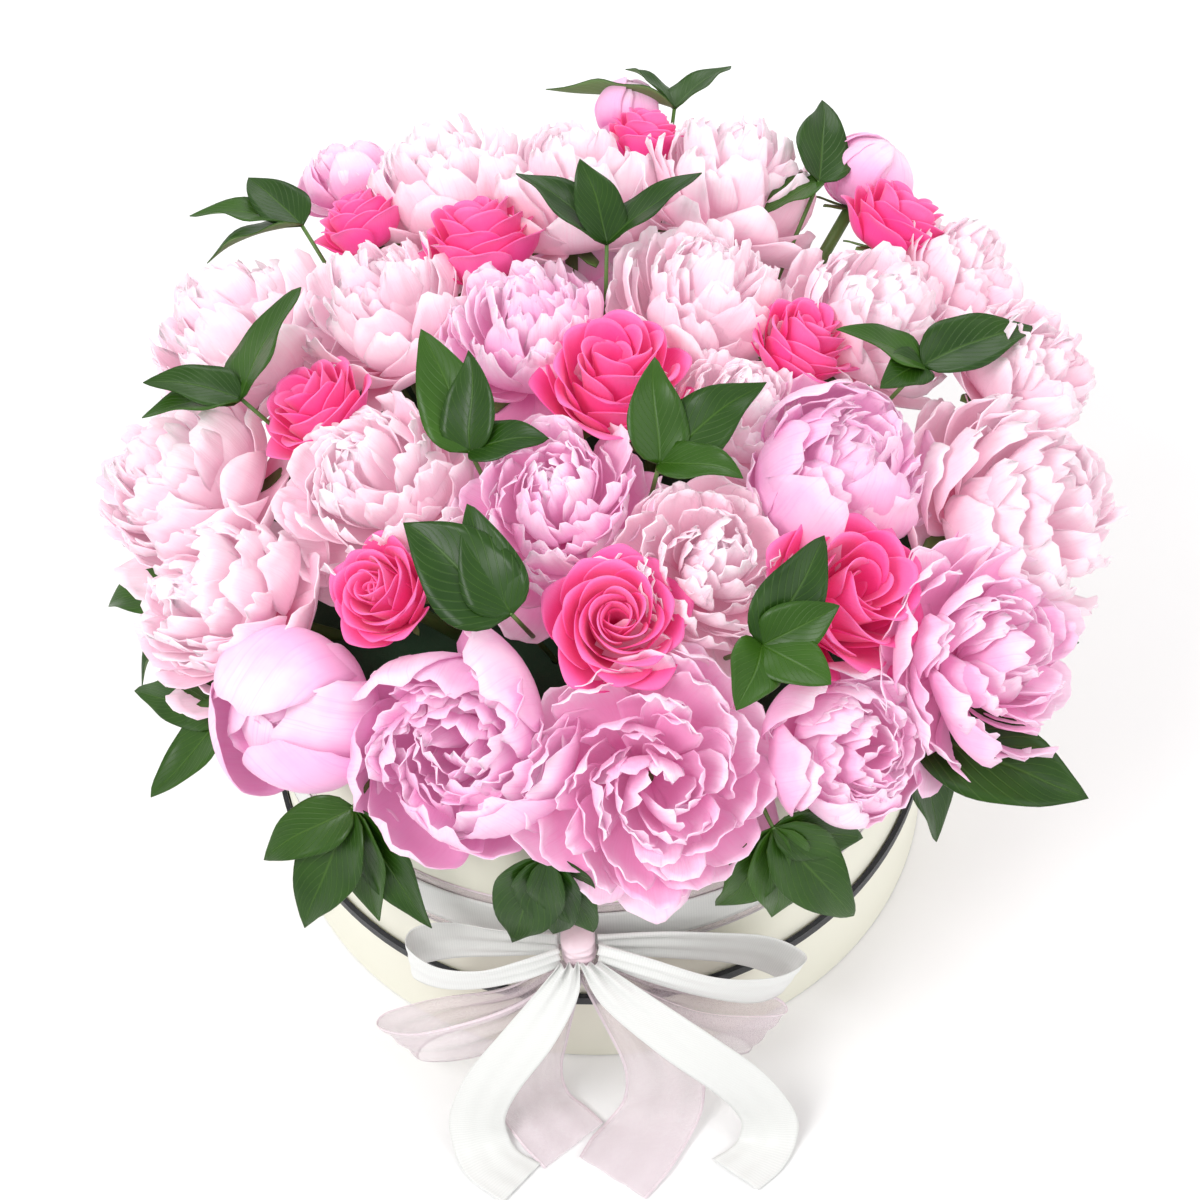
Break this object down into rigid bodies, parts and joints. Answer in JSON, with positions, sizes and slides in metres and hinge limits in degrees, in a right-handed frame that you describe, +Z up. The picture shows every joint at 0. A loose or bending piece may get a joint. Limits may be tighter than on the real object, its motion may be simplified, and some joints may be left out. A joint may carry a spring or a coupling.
{
  "type": "flower box",
  "caption": "Round board flower box standing in its upturned lid, tied with satin and sheer ribbons, with peonies, roses and leaves set in lined wet foam.",
  "frame": {"origin": "centre of the underside of the lid, the flat face that rests on the table", "axes": "+Z up along the axis of the round box, -Y towards the bow at the front, +X to the right of the bow seen from the front"},
  "size_m": [0.4457, 0.4512, 0.2967],
  "materials": {
    "cream_board": "matte paper wrap",
    "dark_edging": "satin tape",
    "satin_ribbon": "satin weave",
    "organza_ribbon": "sheer",
    "clear_film": "clear film",
    "wet_foam": "soaked open-cell foam",
    "blush_petals": "soft petal",
    "pink_petals": "soft petal",
    "lilac_petals": "soft petal",
    "rose_petals": "velvety petal",
    "leaves": "glossy leaf"
  },
  "bodies": {
    "lid": {"lid_panel": "cream_board", "lid_rim": "cream_board", "lid_trim": "dark_edging"},
    "box": {"bow_knot": "organza_ribbon", "box_base": "cream_board", "box_wall": "cream_board", "organza_band": "organza_ribbon", "organza_loop_left": "organza_ribbon", "organza_loop_right": "organza_ribbon", "organza_tail_left": "organza_ribbon", "organza_tail_right": "organza_ribbon", "satin_band": "satin_ribbon", "satin_loop_left": "satin_ribbon", "satin_loop_right": "satin_ribbon", "satin_tail_left": "satin_ribbon", "satin_tail_right": "satin_ribbon"},
    "bouquet": {"foam_lower": "wet_foam", "foam_upper": "wet_foam", "foliage_crown": "leaves", "foliage_rear": "leaves", "foliage_rim_front": "leaves", "foliage_rim_rear": "leaves", "foliage_rim_sides": "leaves", "foliage_sides": "leaves", "liner": "clear_film", "peony_crown_front": "pink_petals", "peony_crown_left": "blush_petals", "peony_crown_right": "blush_petals", "peony_front_bud": "lilac_petals", "peony_front_left": "pink_petals", "peony_front_open": "pink_petals", "peony_front_right": "pink_petals", "peony_left_front": "blush_petals", "peony_left_large": "blush_petals", "peony_left_rear": "blush_petals", "peony_lilac_ball": "lilac_petals", "peony_low_rear_left": "blush_petals", "peony_low_rear_right": "blush_petals", "peony_nested": "blush_petals", "peony_rear_buds": "lilac_petals", "peony_rear_left": "blush_petals", "peony_rear_middle": "blush_petals", "peony_rear_right": "blush_petals", "peony_rear_right_rim": "blush_petals", "peony_right_fan": "pink_petals", "peony_right_large": "blush_petals", "peony_right_rear": "blush_petals", "peony_upper_left": "blush_petals", "peony_upper_middle": "pink_petals", "peony_upper_right": "blush_petals", "peony_upper_side": "blush_petals", "rose_crown": "rose_petals", "rose_front": "rose_petals", "rose_front_left": "rose_petals", "rose_front_right": "rose_petals", "rose_left": "rose_petals", "rose_rear_left": "rose_petals", "rose_rear_right": "rose_petals", "rose_rear_small": "rose_petals", "rose_right": "rose_petals"}
  },
  "joints": [
    {"name": "box_lift", "type": "slide", "parent": "lid", "child": "box", "axis": [0, 0, 1], "range_m": [0, 0.06]},
    {"name": "insert_lift", "type": "slide", "parent": "box", "child": "bouquet", "axis": [0, 0, 1], "range_m": [0, 0.18]}
  ]
}
